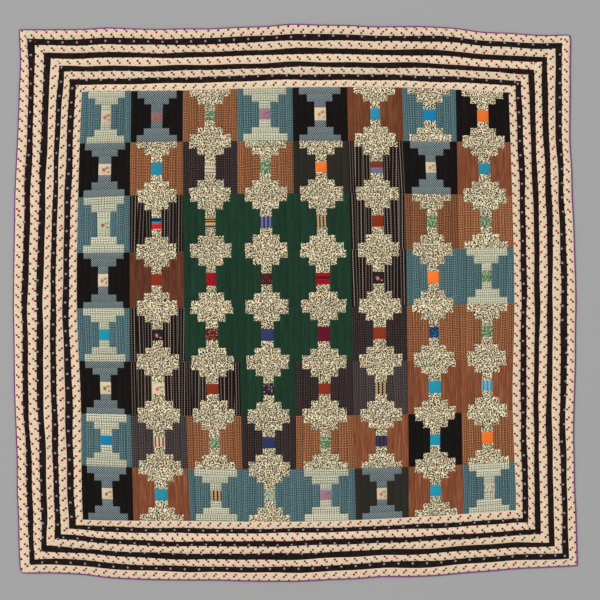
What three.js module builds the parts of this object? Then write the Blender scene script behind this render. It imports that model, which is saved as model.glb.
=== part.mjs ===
// A log cabin quilt in the courthouse steps setting, laid out flat.
// Millimetres. +X points to the quilt's right, +Y to its top edge and +Z up.
// The origin lies under the middle of the quilt, on the surface that it rests on.
//
// The patchwork is one sewn sheet of 8 by 8 blocks. Around it run nine rounds of border
// strips, cream and black in turn, and a narrow binding closes the edge. In each round the
// strips at the top and bottom were sewn on first, and those at the sides cover their ends.
// The cloth lies as it was sewn: its seams have drifted from the even grid, and its edges bow.
import * as THREE from "three";

// Patchwork: a centre square and three rounds of logs make a block, and every corner of a
// patch lies on a grid of half logs.
const HALF_LOG = 12.7;
const HALF_LOGS = { log: 2, centre: 3 };
const ROUNDS = 3;
const BLOCKS_A_SIDE = 8;
const HALF_LOGS_A_BLOCK = HALF_LOGS.centre + 2 * ROUNDS * HALF_LOGS.log;
const HALF_LOGS_A_SIDE = BLOCKS_A_SIDE * HALF_LOGS_A_BLOCK;
const BLOCK_SIDE = HALF_LOGS_A_BLOCK * HALF_LOG;
const BLOCK_MIDDLE = { u: HALF_LOGS_A_BLOCK / 2, v: HALF_LOGS_A_BLOCK / 2 };
const FIELD_HALF = (BLOCKS_A_SIDE * BLOCK_SIDE) / 2;

// Border strips, from the patchwork outwards.
const BORDER_STRIPS = [
  { name: "cream_5", cloth: "cream", width: 26 },
  { name: "black_4", cloth: "black", width: 20 },
  { name: "cream_4", cloth: "cream", width: 25 },
  { name: "black_3", cloth: "black", width: 20 },
  { name: "cream_3", cloth: "cream", width: 26 },
  { name: "black_2", cloth: "black", width: 21 },
  { name: "cream_2", cloth: "cream", width: 27 },
  { name: "black_1", cloth: "black", width: 21 },
  { name: "cream_1", cloth: "cream", width: 28 },
];
const BINDING_WIDTH = 4.5;
const STRIPS_WIDTH = BORDER_STRIPS.reduce((sum, strip) => sum + strip.width, 0);
const OUTER_HALF = FIELD_HALF + STRIPS_WIDTH + BINDING_WIDTH;

// Thickness: flat underneath, drawn down at the seams and puffed between them.
const SEAM_HEIGHT = 3.0;
const PATCH_CROWN = 5.2;
const STRIP_CROWN = 4.6;
const CROWN_UNEVEN = 0.4; // some patches are fuller than others
const UNEVEN_SPAN = { across: 97, along: 131 }; // how quickly that changes over the quilt
const BINDING_HEIGHTS = { inner: 3.2, crown: 4.4, rim: 2.4, rimBase: 0.9 };

const GAP = 0.3; // between neighbouring pieces

// How far the seams between columns have drifted to the right of the even grid, at the top,
// the middle and the bottom of the patchwork. The columns run from left to right.
const COLUMN_DRIFT = [
  { top: 18, middle: 0, bottom: 19 },
  { top: -2, middle: -7, bottom: 6 },
  { top: -12, middle: -8, bottom: 13 },
  { top: -13, middle: -6, bottom: 10 },
  { top: -10, middle: -1, bottom: 6 },
  { top: -10, middle: 8, bottom: 21 },
  { top: -7, middle: 10, bottom: 16 },
  { top: -10, middle: 4, bottom: 16 },
  { top: -12, middle: 4, bottom: 11 },
];

// How far the seams between rows have drifted up from the even grid, at the left, the middle
// and the right of the patchwork. The rows run from top to bottom.
const ROW_DRIFT = [
  { left: -23, middle: -9, right: -27 },
  { left: -15, middle: -6, right: -11 },
  { left: -14, middle: 1, right: -8 },
  { left: -17, middle: -8, right: 0 },
  { left: -20, middle: -15, right: -3 },
  { left: -14, middle: -17, right: -3 },
  { left: -7, middle: -16, right: 3 },
  { left: 2, middle: -12, right: 15 },
  { left: 6, middle: -3, right: 36 },
];

// How far each outer edge stands out beyond the even square, at its corners and in line with
// each seam: the top and bottom edges from left to right, the side edges from top to bottom.
const EDGE_WAVE = {
  top: [-24, -23, -22, -20, -16, -5, -9, -13, -19, -38, -47],
  bottom: [-32, -26, -9, -8, -7, -4, -13, -20, -34, -49, -60],
  left: [-12, -15, -6, 3, 5, 8, 5, 0, -6, -10, -17],
  right: [-14, -20, -19, -14, -1, 4, -2, -5, -3, -1, 8],
};

const CLOTHS = {
  patchwork: { color: 0x7b6a58, roughness: 0.92 },
  cream: { color: 0xe1cdaa, roughness: 0.9 },
  black: { color: 0x26221f, roughness: 0.88 },
  binding: { color: 0x824882, roughness: 0.85 },
};

const { lerp, clamp } = THREE.MathUtils;

// The lines of the even quilt, from left to right or from the bottom up: both outer edges
// and the nine seams between them.
const EVEN_SEAMS = COLUMN_DRIFT.map((_, seam) => seam * BLOCK_SIDE - FIELD_HALF);
const EVEN_LINES = [-OUTER_HALF, ...EVEN_SEAMS, OUTER_HALF];
const LAST_LINE = EVEN_LINES.length - 1;

// A smooth bow through three values, at -1, 0 and 1.
function bow(first, middle, last, at) {
  return middle + ((last - first) / 2) * at + ((first + last) / 2 - middle) * at ** 2;
}

// How far each line has moved to the right where the given row line crosses it.
function columnShifts(row) {
  const up = clamp(EVEN_LINES[row] / FIELD_HALF, -1, 1);
  return [
    -EDGE_WAVE.left[LAST_LINE - row],
    ...COLUMN_DRIFT.map((seam) => bow(seam.bottom, seam.middle, seam.top, up)),
    EDGE_WAVE.right[LAST_LINE - row],
  ];
}

// How far each line has moved up where the given column line crosses it.
function rowShifts(column) {
  const right = clamp(EVEN_LINES[column] / FIELD_HALF, -1, 1);
  return [
    EDGE_WAVE.top[column],
    ...ROW_DRIFT.map((seam) => bow(seam.left, seam.middle, seam.right, right)),
    -EDGE_WAVE.bottom[column],
  ].reverse();
}

// Where the lines cross on the real quilt, by column and row. Between crossings the cloth
// lies straight, so neighbouring pieces keep their even gap.
const shiftsAtRow = EVEN_LINES.map((_, row) => columnShifts(row));
const crossings = EVEN_LINES.map((u, column) => {
  const shifts = rowShifts(column);
  return EVEN_LINES.map((v, row) => new THREE.Vector2(u + shiftsAtRow[row][column], v + shifts[row]));
});

// The lines on either side of an even place, and how far it lies from the first to the second.
function cellOf(even) {
  const above = Math.max(1, EVEN_LINES.findIndex((line) => even <= line));
  const below = above - 1;
  return { below, above, share: (even - EVEN_LINES[below]) / (EVEN_LINES[above] - EVEN_LINES[below]) };
}

// Where a point of the even, square quilt lies on the real one.
function place(u, v) {
  const column = cellOf(u);
  const row = cellOf(v);
  const between = (line) =>
    new THREE.Vector2().lerpVectors(crossings[line][row.below], crossings[line][row.above], row.share);
  return between(column.below).lerp(between(column.above), column.share);
}

// A mesh of its own material, named for its piece.
function clothMesh(name, cloth, geometry) {
  const material = new THREE.MeshStandardMaterial({ ...CLOTHS[cloth], metalness: 0 });
  const mesh = new THREE.Mesh(geometry, material);
  mesh.name = name;
  return mesh;
}

// The patches of one block as rectangles in half logs: the centre square first, then each
// round with its top and bottom logs, and the side logs that cover their ends.
function blockPatches() {
  const { log } = HALF_LOGS;
  const centre = ROUNDS * log;
  const beyondCentre = HALF_LOGS_A_BLOCK - centre;
  const patches = [{ left: centre, right: beyondCentre, low: centre, high: beyondCentre }];
  for (let near = centre; near > 0; near -= log) {
    const far = HALF_LOGS_A_BLOCK - near;
    patches.push(
      { left: near, right: far, low: near - log, high: near },
      { left: near, right: far, low: far, high: far + log },
      { left: near - log, right: near, low: near - log, high: far + log },
      { left: far, right: far + log, low: near - log, high: far + log },
    );
  }
  return patches;
}

function patchCorners({ left, right, low, high }) {
  return [
    { u: left, v: low },
    { u: right, v: low },
    { u: right, v: high },
    { u: left, v: high },
  ];
}

function distinct(points) {
  return [...new Map(points.map((p) => [`${p.u},${p.v}`, p])).values()];
}

// A patch's rim, counter-clockwise, with each place where a neighbour's corner meets it.
function patchRim(patch, meetings) {
  const corners = patchCorners(patch);
  return corners.flatMap((from, k) => {
    const to = corners[(k + 1) % corners.length];
    const way = { u: Math.sign(to.u - from.u), v: Math.sign(to.v - from.v) };
    const along = (point) => (point.u - from.u) * way.u + (point.v - from.v) * way.v;
    const off = (point) => (point.u - from.u) * way.v - (point.v - from.v) * way.u;
    const between = meetings.filter(
      (point) => off(point) === 0 && along(point) > 0 && along(point) < along(to),
    );
    return [from, ...between.sort((a, b) => along(a) - along(b))];
  });
}

// The ends of the ridge that a puffed patch rises to. On a square they are one point.
function patchRidge({ left, right, low, high }) {
  const half = Math.min(right - left, high - low) / 2;
  return [
    { u: left + half, v: low + half },
    { u: right - half, v: high - half },
  ];
}

// Collects triangles whose corners run counter-clockwise as seen from outside.
class Shell {
  constructor() {
    this.corners = [];
  }
  triangle(...points) {
    this.corners.push(...points);
  }
  quad(a, b, c, d) {
    this.triangle(a, b, c);
    this.triangle(a, c, d);
  }
  geometry() {
    return new THREE.BufferGeometry().setFromPoints(this.corners);
  }
}

// A point of the patchwork, counted in half logs from its lower left corner.
function fieldPoint({ u, v }, z) {
  const limit = FIELD_HALF - GAP / 2;
  const even = (count) => clamp(count * HALF_LOG - FIELD_HALF, -limit, limit);
  const { x, y } = place(even(u), even(v));
  return new THREE.Vector3(x, y, z);
}

function crownAt({ u, v }) {
  const { across, along } = UNEVEN_SPAN;
  const swell = Math.sin((u * HALF_LOG) / across) * Math.cos((v * HALF_LOG) / along);
  return PATCH_CROWN + CROWN_UNEVEN * swell;
}

function raisePatch(shell, rim, ridge) {
  const distance = (a, b) => Math.hypot(a.u - b.u, a.v - b.v);
  const nearer = (p) => (distance(p, ridge[0]) <= distance(p, ridge[1]) ? ridge[0] : ridge[1]);
  const seam = (p) => fieldPoint(p, SEAM_HEIGHT);
  const crown = (p) => fieldPoint(p, crownAt(p));
  rim.forEach((from, k) => {
    const to = rim[(k + 1) % rim.length];
    shell.triangle(seam(from), seam(to), crown(nearer(from)));
    if (nearer(from) !== nearer(to) && distance(...ridge) > 0) {
      shell.triangle(crown(nearer(from)), seam(to), crown(nearer(to)));
    }
  });
}

function onFieldEdge(from, to) {
  const both = (axis, side) => from[axis] === side && to[axis] === side;
  return ["u", "v"].some((axis) => both(axis, 0) || both(axis, HALF_LOGS_A_SIDE));
}

// A block's flat underside, as a fan about its middle. Between the block's corners it has
// only the points at the patchwork's own edge, where the wall needs them.
function addUnderside(shell, outline, middle) {
  const isCorner = (p) => p.u % HALF_LOGS_A_BLOCK === 0 && p.v % HALF_LOGS_A_BLOCK === 0;
  const rim = outline.filter((p) => isCorner(p) || onFieldEdge(p, p));
  rim.forEach((from, k) => {
    const to = rim[(k + 1) % rim.length];
    shell.triangle(fieldPoint(to, 0), fieldPoint(from, 0), fieldPoint(middle, 0));
  });
}

// The wall along each edge of a block that is also the patchwork's edge.
function addWalls(shell, outline) {
  outline.forEach((from, k) => {
    const to = outline[(k + 1) % outline.length];
    if (!onFieldEdge(from, to)) return;
    shell.quad(
      fieldPoint(from, 0),
      fieldPoint(to, 0),
      fieldPoint(to, SEAM_HEIGHT),
      fieldPoint(from, SEAM_HEIGHT),
    );
  });
}

// The sewn patchwork: raised patches on top, a flat underside and a wall at the edge.
function patchwork() {
  const shell = new Shell();
  const patches = blockPatches();
  const meetings = distinct(patches.flatMap(patchCorners));
  const block = { left: 0, right: HALF_LOGS_A_BLOCK, low: 0, high: HALF_LOGS_A_BLOCK };
  for (let row = 0; row < BLOCKS_A_SIDE; row++) {
    for (let column = 0; column < BLOCKS_A_SIDE; column++) {
      const corner = { u: column * HALF_LOGS_A_BLOCK, v: row * HALF_LOGS_A_BLOCK };
      const moved = (p) => ({ u: p.u + corner.u, v: p.v + corner.v });
      for (const patch of patches) {
        raisePatch(shell, patchRim(patch, meetings).map(moved), patchRidge(patch).map(moved));
      }
      const outline = patchRim(block, meetings).map(moved);
      addUnderside(shell, outline, moved(BLOCK_MIDDLE));
      addWalls(shell, outline);
    }
  }
  return clothMesh("patchwork", "patchwork", shell.geometry());
}

// The places along a piece where it may bend: its ends and each line between them.
function bendsBetween(low, high) {
  return [low, ...EVEN_LINES.filter((line) => line > low && line < high), high];
}

// A long piece of the edge: a box of the even quilt, bent to where it lies on the real one.
// Its height at a place comes from how far out that is, from 0 to 1.
function edgePiece(name, cloth, side, region, heightAt) {
  const insideOf = (low, high) => [low + GAP / 2, high - GAP / 2];
  const [left, right] = insideOf(region.left, region.right);
  const [low, high] = insideOf(region.low, region.high);
  const halves = (from, to) => [from, (from + to) / 2, to];
  const lengthwise = side === "top" || side === "bottom";
  const columns = lengthwise ? bendsBetween(left, right) : halves(left, right);
  const rows = lengthwise ? halves(low, high) : bendsBetween(low, high);
  const geometry = new THREE.BoxGeometry(1, 1, 1, columns.length - 1, rows.length - 1, 1);
  const positions = geometry.getAttribute("position");
  for (let i = 0; i < positions.count; i++) {
    const across = positions.getX(i) + 0.5;
    const up = positions.getY(i) + 0.5;
    const onTop = positions.getZ(i) > 0;
    const outward = { top: up, bottom: 1 - up, right: across, left: 1 - across }[side];
    const column = Math.round(across * (columns.length - 1));
    const row = Math.round(up * (rows.length - 1));
    const { x, y } = place(columns[column], rows[row]);
    positions.setXYZ(i, x, y, heightAt(outward, onTop));
  }
  geometry.computeVertexNormals();
  return clothMesh(name, cloth, geometry);
}

// The region on each side between two distances from the middle. The pieces at the sides
// run past the ends of those at the top and bottom.
function sideRegions(inner, outer) {
  return {
    top: { left: -inner, right: inner, low: inner, high: outer },
    bottom: { left: -inner, right: inner, low: -outer, high: -inner },
    left: { left: -outer, right: -inner, low: -outer, high: outer },
    right: { left: inner, right: outer, low: -outer, high: outer },
  };
}

function stripHeight(outward, onTop) {
  if (!onTop) return 0;
  return lerp(SEAM_HEIGHT, STRIP_CROWN, 1 - Math.abs(2 * outward - 1));
}

// The binding is folded over the edge, so that it is rounded there and clear of the surface.
function bindingHeight(outward, onTop) {
  const { inner, crown, rim, rimBase } = BINDING_HEIGHTS;
  const [atSeam, atMiddle, atRim] = onTop ? [inner, crown, rim] : [0, 0, rimBase];
  return outward < 0.5 ? lerp(atSeam, atMiddle, 2 * outward) : lerp(atMiddle, atRim, 2 * outward - 1);
}

function borderRounds() {
  const pieces = [];
  let inner = FIELD_HALF;
  for (const { name, cloth, width } of BORDER_STRIPS) {
    for (const [side, region] of Object.entries(sideRegions(inner, inner + width))) {
      pieces.push(edgePiece(`${name}_${side}`, cloth, side, region, stripHeight));
    }
    inner += width;
  }
  return pieces;
}

function binding() {
  const regions = sideRegions(FIELD_HALF + STRIPS_WIDTH, OUTER_HALF);
  return Object.entries(regions).map(([side, region]) =>
    edgePiece(`binding_${side}`, "binding", side, region, bindingHeight),
  );
}

const quilt = new THREE.Group();
quilt.add(patchwork(), ...borderRounds(), ...binding());

// The bowed edges aren't even about the middle seam, so the whole is centred on its box.
const middle = new THREE.Box3().setFromObject(quilt).getCenter(new THREE.Vector3());
quilt.position.set(-middle.x, -middle.y, 0);

export default quilt;
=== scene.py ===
# %% [markdown]
# A log cabin quilt, laid out flat
#
# The quilt is 64 sewn blocks of 13 patches each, inside nine rounds of border strips and a
# narrow purple binding. Each patch is a scrap of woven cotton. The solids of the model give the
# size, the drifted seams and the bowed edges. This lesson sews the same quilt again in fine
# meshes, with every patch in its own cloth.

# %% Load the solids and keep their box
import math

import bmesh
import bpy
import numpy as np
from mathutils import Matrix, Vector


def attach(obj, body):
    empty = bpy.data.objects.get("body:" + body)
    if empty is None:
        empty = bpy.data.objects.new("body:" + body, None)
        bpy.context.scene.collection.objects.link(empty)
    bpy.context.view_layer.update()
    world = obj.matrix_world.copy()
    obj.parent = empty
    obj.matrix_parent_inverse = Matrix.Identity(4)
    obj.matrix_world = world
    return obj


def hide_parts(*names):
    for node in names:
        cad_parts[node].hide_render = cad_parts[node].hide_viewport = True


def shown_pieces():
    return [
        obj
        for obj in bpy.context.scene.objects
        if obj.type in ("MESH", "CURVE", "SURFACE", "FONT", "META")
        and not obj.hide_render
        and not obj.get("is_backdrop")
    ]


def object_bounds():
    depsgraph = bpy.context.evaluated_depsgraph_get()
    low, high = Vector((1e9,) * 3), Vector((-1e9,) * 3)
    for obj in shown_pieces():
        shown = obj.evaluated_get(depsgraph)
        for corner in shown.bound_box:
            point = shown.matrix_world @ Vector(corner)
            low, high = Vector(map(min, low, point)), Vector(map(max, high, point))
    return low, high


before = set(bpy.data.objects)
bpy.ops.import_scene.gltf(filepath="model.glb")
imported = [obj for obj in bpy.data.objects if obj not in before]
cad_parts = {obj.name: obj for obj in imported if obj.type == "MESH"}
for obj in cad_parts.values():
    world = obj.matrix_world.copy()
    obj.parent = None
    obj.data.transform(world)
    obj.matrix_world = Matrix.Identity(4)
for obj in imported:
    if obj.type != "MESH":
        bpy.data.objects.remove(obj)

cad_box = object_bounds()
print("solids:", len(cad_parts), "box:", cad_box)

# %% [markdown]
# The camera, the floor and the light
#
# The quilt was photographed from straight above and from far off, so a long lens looks down at
# the floor. Cloth shows its colours best in broad, even light: the surroundings give most of it,
# and one large soft lamp from the upper left lets the seams cast the faintest shade.

# %% Camera, floor and light
MM = 0.001
PIXEL = 3.5 * MM
FRAME_PIXELS = 600
QUILT_MIDDLE_PIXEL = {"x": 295.2, "y": 302.65}
CAMERA_HEIGHT = 6.0
SENSOR_WIDTH = 36.0
MATT = 0.9
FLOOR = {"half": 60.0, "drop": 0.5 * MM, "colour": (0.363, 0.363, 0.361, 1)}
SURROUNDINGS = 0.56
LAMP = {"place": (-27.5, 25.0, 37.5), "size": 20.0, "energy": 18100}

scene = bpy.context.scene
scene.view_settings.view_transform = "Standard"


def add_camera():
    """A long lens straight above, framed as the photograph is."""
    frame_width = FRAME_PIXELS * PIXEL
    camera = bpy.data.objects.new("camera", bpy.data.cameras.new("camera"))
    camera.data.sensor_width = SENSOR_WIDTH
    camera.data.lens = SENSOR_WIDTH * CAMERA_HEIGHT / frame_width
    camera.location = (
        (FRAME_PIXELS / 2 - QUILT_MIDDLE_PIXEL["x"]) * PIXEL,
        (QUILT_MIDDLE_PIXEL["y"] - FRAME_PIXELS / 2) * PIXEL,
        CAMERA_HEIGHT,
    )
    scene.collection.objects.link(camera)
    scene.camera = camera


def add_floor():
    """A plain pale floor that reaches far past the quilt."""
    half = FLOOR["half"]
    corners = [(-half, -half, 0), (half, -half, 0), (half, half, 0), (-half, half, 0)]
    mesh = bpy.data.meshes.new("floor")
    mesh.from_pydata(corners, [], [(0, 1, 2, 3)])
    paint = bpy.data.materials.new("floor paint")
    paint.use_nodes = True
    shader = paint.node_tree.nodes["Principled BSDF"]
    shader.inputs["Base Color"].default_value = FLOOR["colour"]
    shader.inputs["Roughness"].default_value = MATT
    mesh.materials.append(paint)
    floor = bpy.data.objects.new("floor", mesh)
    floor.location.z = -FLOOR["drop"]
    scene.collection.objects.link(floor)
    floor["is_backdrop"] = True


def add_light():
    """Even light from all around, and one broad lamp from the upper left."""
    world = bpy.data.worlds.new("studio")
    world.use_nodes = True
    background = world.node_tree.nodes["Background"].inputs
    background["Color"].default_value = (1, 1, 1, 1)
    background["Strength"].default_value = SURROUNDINGS
    scene.world = world
    lamp = bpy.data.objects.new("soft lamp", bpy.data.lights.new("soft lamp", "AREA"))
    lamp.data.size = LAMP["size"]
    lamp.data.energy = LAMP["energy"]
    lamp.location = LAMP["place"]
    scene.collection.objects.link(lamp)
    x, y, z = LAMP["place"]
    lamp.rotation_euler = (math.atan2(math.hypot(x, y), z), 0, math.atan2(-y, -x) - math.pi / 2)


add_camera()
add_floor()
add_light()
print("lens:", round(scene.camera.data.lens, 1), "mm")

# %% [markdown]
# The even quilt and the real one
#
# A quilter cuts every piece to the even plan, but sewing pulls the cloth: seams drift and edges
# bow. So every piece is laid out on the even plan first, in millimetres, and one function then
# says where each of its points lies on the real quilt. It bends the seams as smooth bows through
# three drifts, and the outer edges through their waves, all read off the photograph. The
# border strips get the widths that they came out with, at five places along each side. Their
# seams also turn each corner where the photograph shows them to, and the outer corners are
# rounded and drawn in a little.

# %% Sizes of the even plan
HALF_LOG = 12.7
LOG = 2
CENTRE = 3
ROUNDS = 3
BLOCK = CENTRE + 2 * ROUNDS * LOG
BLOCKS = 8
FIELD_HALF = BLOCKS * BLOCK * HALF_LOG / 2
STRIPS = [
    {"name": "cream_5", "cloth": "cream", "width": 26},
    {"name": "black_4", "cloth": "black", "width": 20},
    {"name": "cream_4", "cloth": "cream", "width": 25},
    {"name": "black_3", "cloth": "black", "width": 20},
    {"name": "cream_3", "cloth": "cream", "width": 26},
    {"name": "black_2", "cloth": "black", "width": 21},
    {"name": "cream_2", "cloth": "cream", "width": 27},
    {"name": "black_1", "cloth": "black", "width": 21},
    {"name": "cream_1", "cloth": "cream", "width": 28},
]
BINDING = 4.5
BINDING_INNER = FIELD_HALF + sum(strip["width"] for strip in STRIPS)
OUTER_HALF = BINDING_INNER + BINDING
SEAM_HEIGHT = 3.0
PATCH_CROWN = 5.2
STRIP_CROWN = 4.6
BACK_HEIGHT = 0.35
print("even quilt:", 2 * OUTER_HALF, "mm a side, blocks of", BLOCK * HALF_LOG, "mm")

# %% Drift of the seams and edges
# To the right in millimetres, for the column seams from the left.
COLUMN_DRIFT = {
    "top": [18, -2, -12, -13, -10, -10, -7, -10, -12],
    "middle": [0, -7, -8, -6, -1, 8, 10, 4, 4],
    "bottom": [19, 6, 13, 10, 6, 21, 16, 16, 11],
}
# Upwards in millimetres, for the row seams from the top.
ROW_DRIFT = {
    "left": [-23, -15, -14, -17, -20, -14, -7, 2, 6],
    "middle": [-9, -6, 1, -8, -15, -17, -16, -12, -3],
    "right": [-27, -11, -8, 0, -3, -3, 3, 15, 36],
}
# Outwards in millimetres, at the knots of an edge from its left end or its top.
EDGE_WAVE = {
    "top": [
        -24, -24, -23, -18, -21, -23, -21, -21, -16, -13, -5,
        -8, -9, -14, -13, -14, -20, -33, -37, -44, -42,
    ],
    "bottom": [
        -32, -33, -28, -17, -12, -9, -8, -8, -5, -4, -4,
        -9, -13, -20, -20, -24, -33, -40, -48, -53, -59,
    ],
    "left": [
        -12, -17, -13, -10, -6, -1, 3, 4, 6, 7, 8,
        6, 5, 4, 1, -3, -6, -6, -10, -12, -17,
    ],
    "right": [
        -15, -17, -17, -18, -18, -12, -10, -5, -2, 1, 3,
        1, 1, -1, -4, -5, -3, -2, 2, 5, 8,
    ],
}
SEAMS = np.linspace(-FIELD_HALF, FIELD_HALF, BLOCKS + 1)
LINES = np.concatenate([[-OUTER_HALF], SEAMS, [OUTER_HALF]])
EDGE_KNOTS = np.sort(np.concatenate([LINES, (LINES[1:] + LINES[:-1]) / 2]))


def bow(first, middle, last, at):
    """A smooth bow through three values, at -1, 0 and 1."""
    return middle + (last - first) / 2 * at + ((first + last) / 2 - middle) * at**2


def wave(values, at, knots=EDGE_KNOTS):
    """A smooth line through the values at the knots, and level past the last ones."""
    values, knots = np.asarray(values, float), np.asarray(knots, float)
    slopes = np.gradient(values, knots)
    at = np.clip(at, knots[0], knots[-1])
    cell = np.clip(np.searchsorted(knots, at) - 1, 0, len(knots) - 2)
    run = knots[cell + 1] - knots[cell]
    t = (at - knots[cell]) / run
    first = (2 * t**3 - 3 * t**2 + 1) * values[cell] + (t**3 - 2 * t**2 + t) * run * slopes[cell]
    second = (3 * t**2 - 2 * t**3) * values[cell + 1] + (t**3 - t**2) * run * slopes[cell + 1]
    return first + second


def shift_at(at, shifts, lines=LINES):
    """The shift at even places, from the shifts of the lines there."""
    at = np.clip(at, lines[0], lines[-1])
    cell = np.clip(np.searchsorted(lines, at) - 1, 0, len(lines) - 2)
    share = (at - lines[cell]) / (lines[cell + 1] - lines[cell])
    pick = np.arange(len(at))
    return shifts[cell, pick] * (1 - share) + shifts[cell + 1, pick] * share


# %% How wide the border strips came out
SIDES = ("top", "bottom", "left", "right")
STATIONS = {"top": [-718, -403, 17, 437, 717], "left": [-709, -359, -9, 341, 691]}
STATIONS.update({"bottom": STATIONS["top"], "right": STATIONS["left"]})
# One row for each station, with the nine strips from the inside outwards.
STRIP_WIDTHS = {
    "top": [
        [23, 20, 26, 20, 28, 20, 27, 23, 31],
        [25, 21, 23, 20, 27, 18, 27, 23, 31],
        [26, 21, 24, 19, 28, 21, 27, 24, 30],
        [24, 21, 24, 20, 26, 21, 29, 20, 29],
        [26, 18, 26, 15, 26, 19, 28, 20, 26],
    ],
    "bottom": [
        [19, 20, 23, 18, 23, 18, 24, 22, 28],
        [25, 18, 28, 18, 24, 21, 24, 20, 26],
        [23, 16, 26, 20, 24, 23, 25, 21, 27],
        [26, 17, 26, 19, 24, 20, 24, 23, 28],
        [28, 17, 27, 18, 24, 18, 26, 20, 27],
    ],
    "left": [
        [23, 23, 23, 19, 26, 23, 29, 20, 29],
        [25, 23, 25, 18, 25, 24, 29, 23, 31],
        [28, 22, 24, 20, 25, 24, 30, 21, 27],
        [29, 26, 28, 21, 25, 23, 30, 19, 26],
        [28, 23, 27, 20, 24, 22, 28, 20, 30],
    ],
    "right": [
        [25, 22, 24, 20, 24, 21, 25, 24, 25],
        [25, 20, 26, 19, 26, 21, 23, 19, 26],
        [23, 20, 27, 19, 26, 19, 28, 23, 26],
        [27, 21, 26, 17, 27, 21, 27, 22, 26],
        [23, 20, 22, 19, 26, 21, 27, 20, 24],
    ],
}
FIELD_STRAY = {
    "top": [-2, -8, 0, 4, 0],
    "bottom": [4, -2, 2, 0, 0],
    "left": [2, 2, 2, -8, 0],
    "right": [-3, 0, 1, -10, -1],
}
# Where the seams turn the corners, in pixels of the photograph, from the inside outwards.
CORNER_SEAMS = {
    "top left": [
        (76.0, 85.0), (69.8, 79.0), (64.2, 71.8), (59.2, 65.8),
        (51.0, 58.5), (43.8, 52.6), (35.0, 45.4), (27.2, 38.6),
    ],
    "top right": [
        (515.5, 85.8), (521.0, 81.2), (528.0, 75.0), (533.9, 69.8),
        (542.0, 62.0), (547.2, 57.2), (555.2, 48.8), (562.0, 43.0),
    ],
    "bottom left": [
        (76.0, 525.0), (69.0, 528.5), (61.2, 533.8), (54.5, 538.8),
        (47.0, 545.0), (41.2, 551.5), (35.0, 559.3), (29.5, 565.0),
    ],
    "bottom right": [
        (522.5, 518.0), (528.0, 522.5), (535.0, 529.0), (540.8, 534.0),
        (548.8, 542.5), (554.7, 546.3), (562.2, 553.0), (569.0, 558.8),
    ],
}
CORNER_FADE = 130.0
RIPPLE = {"long": (1.0, 61), "short": (0.8, 33)}
RIPPLE_TURN = {"side": 1.9, "seam": 0.37}
WIDTHS = [strip["width"] for strip in STRIPS]
SETTLED_LINES = np.cumsum([FIELD_HALF - BLOCK * HALF_LOG, BLOCK * HALF_LOG, *WIDTHS, BINDING])
STRIP_SEAMS = SETTLED_LINES[2:-2]


def no_strays():
    """Nothing for both ends of every border seam, before the corners have been placed."""
    return {side: np.zeros((2, len(STRIP_SEAMS))) for side in SIDES}


corner_strays = no_strays()


def settle(side, reach, along):
    """How far outwards a point came to lie, from how far out it is on the plan."""
    knots = STATIONS[side]
    edge = wave(FIELD_STRAY[side], along, knots)
    grown = np.cumsum([wave(widths, along, knots) for widths in zip(*STRIP_WIDTHS[side])], axis=0)
    seams = FIELD_HALF + edge + (BINDING_INNER - FIELD_HALF - edge) * grown[:-1] / grown[-1]
    turns = SIDES.index(side) * RIPPLE_TURN["side"] + STRIP_SEAMS[:, None] * RIPPLE_TURN["seam"]
    for size, run in RIPPLE.values():
        seams += size * np.sin(along / run + turns)
    near = np.clip((np.abs(along) - STRIP_SEAMS[:, None]) / CORNER_FADE + 1, 0, 1)
    at_start, at_end = corner_strays[side][:, :, None]
    seams += np.where(along < 0, at_start, at_end) * near**2 * (3 - 2 * near)
    still = np.zeros((1, len(along)))
    strayed = seams - STRIP_SEAMS[:, None]
    shifts = np.concatenate([still, edge[None, :], strayed, still, still])
    return shift_at(reach, shifts, SETTLED_LINES)


def settled(u, v):
    """The even place of a point after its strip took its real width."""
    above, right = v > 0, u > 0
    upwards = np.where(above, settle("top", v, u), -settle("bottom", -v, u))
    sideways = np.where(right, settle("right", u, -v), -settle("left", -u, -v))
    return u + sideways, v + upwards


print("seams of the border:", len(STRIP_SEAMS), "a side, read at", len(STATIONS["top"]), "places")

# %% Place any point of the even quilt
DRAWN_IN = {"top left": 3.0, "top right": 7.0, "bottom left": 9.0, "bottom right": 1.0}
DRAWN_REACH = 34.0


def place_uncentred(u, v):
    """Where points of the even quilt lie on the real one, in millimetres."""
    u, v = settled(u, v)
    up = np.clip(v / FIELD_HALF, -1, 1)
    right = np.clip(u / FIELD_HALF, -1, 1)
    bottom, middle, top = (COLUMN_DRIFT[key] for key in ("bottom", "middle", "top"))
    columns = [bow(*drift, up) for drift in zip(bottom, middle, top)]
    left, centre, far = (ROW_DRIFT[key][::-1] for key in ("left", "middle", "right"))
    rows = [bow(*drift, right) for drift in zip(left, centre, far)]
    sideways = [-wave(EDGE_WAVE["left"][::-1], v), *columns, wave(EDGE_WAVE["right"][::-1], v)]
    upwards = [-wave(EDGE_WAVE["bottom"], u), *rows, wave(EDGE_WAVE["top"], u)]
    from_corner = 2 * OUTER_HALF - np.abs(u) - np.abs(v)
    drawn = np.clip(1 - from_corner / DRAWN_REACH, 0, 1) ** 2
    top_in = np.where(u < 0, DRAWN_IN["top left"], DRAWN_IN["top right"])
    bottom_in = np.where(u < 0, DRAWN_IN["bottom left"], DRAWN_IN["bottom right"])
    drawn *= np.where(v > 0, top_in, bottom_in) / 2
    x = u + shift_at(u, np.array(sideways)) - np.sign(u) * drawn
    y = v + shift_at(v, np.array(upwards)) - np.sign(v) * drawn
    return x, y


print("the corners are drawn in by up to", max(DRAWN_IN.values()), "mm")

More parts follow.
